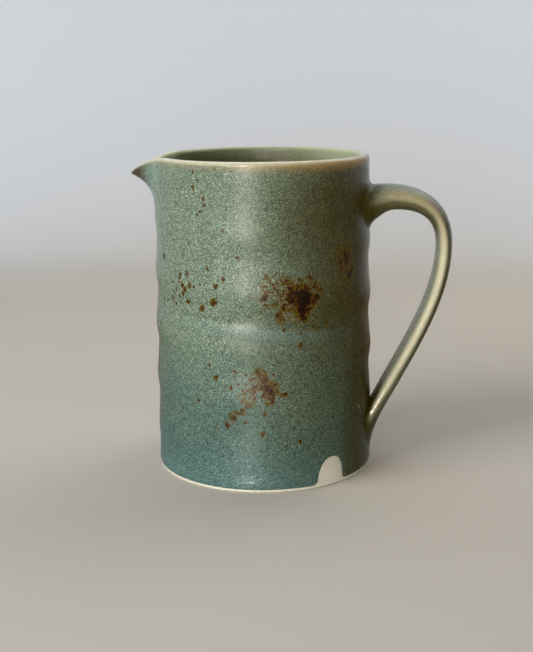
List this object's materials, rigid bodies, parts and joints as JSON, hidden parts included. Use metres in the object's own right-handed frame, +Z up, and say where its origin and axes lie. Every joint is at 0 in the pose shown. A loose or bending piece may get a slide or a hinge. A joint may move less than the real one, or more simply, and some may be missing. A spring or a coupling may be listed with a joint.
{
  "type": "ceramic pitcher",
  "caption": "Hand-thrown straight-sided ceramic pitcher with a pulled spout, a strap handle and a mottled green glaze that stops at a bare clay foot; holds and pours liquid.",
  "frame": {"origin": "centre of the flat underside, on the surface that the pitcher stands on", "axes": "+Z up along the axis of the body, +X towards the handle, -X towards the spout"},
  "size_m": [0.1419, 0.097, 0.14],
  "materials": {
    "bare_clay": "matt, bare fired stoneware",
    "slip": "matt, fired slip",
    "body_glaze": "satin mottled green with rust specks",
    "liner_glaze": "satin mottled green",
    "handle_glaze": "satin green, breaking to cream on the edges"
  },
  "bodies": {
    "root": {"floor_disc": "bare_clay", "thrown_wall": "bare_clay", "pulled_spout": "bare_clay", "pulled_handle": "bare_clay", "upper_slip_joint": "slip", "lower_slip_joint": "slip", "outer_glaze": "body_glaze", "liner_glaze": "liner_glaze", "spout_glaze": "body_glaze", "handle_glaze": "handle_glaze"}
  },
  "joints": []
}
